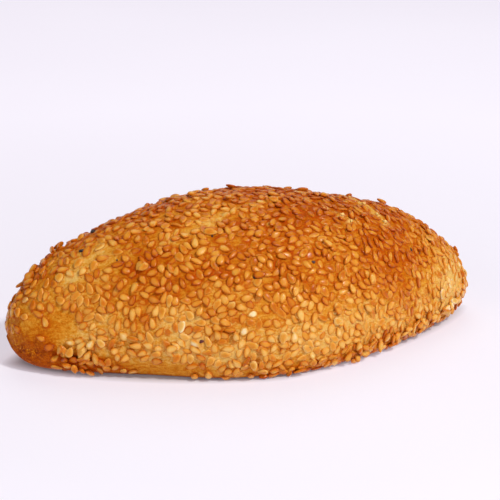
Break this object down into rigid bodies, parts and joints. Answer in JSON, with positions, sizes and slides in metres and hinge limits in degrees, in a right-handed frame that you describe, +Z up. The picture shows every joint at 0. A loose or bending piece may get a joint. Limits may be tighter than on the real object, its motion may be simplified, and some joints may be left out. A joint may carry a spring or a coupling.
{
  "type": "cheese bun",
  "caption": "Torpedo-shaped baked cheese bun, flat underneath, coated in sesame seeds with a few nigella seeds.",
  "frame": {"origin": "middle of the bounding box's bottom face, on the surface the bun rests on", "axes": "+X along the bun towards its slimmer end, -Y towards its front, +Z up"},
  "size_m": [0.149, 0.077, 0.047],
  "materials": {
    "crust": "satin",
    "sesame": "satin",
    "nigella": "matte"
  },
  "bodies": {
    "root": {"bun": "crust", "sesame_seed_01": "sesame", "sesame_seed_02": "sesame", "sesame_seed_03": "sesame", "sesame_seed_04": "sesame", "sesame_seed_05": "sesame", "sesame_seed_06": "sesame", "sesame_seed_07": "sesame", "sesame_seed_08": "sesame", "sesame_seed_09": "sesame", "sesame_seed_10": "sesame", "sesame_seed_11": "sesame", "sesame_seed_12": "sesame", "sesame_seed_13": "sesame", "sesame_seed_14": "sesame", "sesame_seed_15": "sesame", "sesame_seed_16": "sesame", "sesame_seed_17": "sesame", "sesame_seed_18": "sesame", "sesame_seed_19": "sesame", "sesame_seed_20": "sesame", "sesame_seed_21": "sesame", "sesame_seed_22": "sesame", "sesame_seed_23": "sesame", "sesame_seed_24": "sesame", "sesame_seed_25": "sesame", "sesame_seed_26": "sesame", "sesame_seed_27": "sesame", "sesame_seed_28": "sesame", "sesame_seed_29": "sesame", "sesame_seed_30": "sesame", "sesame_seed_31": "sesame", "sesame_seed_32": "sesame", "sesame_seed_33": "sesame", "sesame_seed_34": "sesame", "sesame_seed_35": "sesame", "sesame_seed_36": "sesame", "sesame_seed_37": "sesame", "sesame_seed_38": "sesame", "sesame_seed_39": "sesame", "sesame_seed_40": "sesame", "nigella_seed_01": "nigella", "nigella_seed_02": "nigella", "nigella_seed_03": "nigella", "nigella_seed_04": "nigella", "nigella_seed_05": "nigella", "nigella_seed_06": "nigella", "nigella_seed_07": "nigella", "nigella_seed_08": "nigella"}
  },
  "joints": []
}
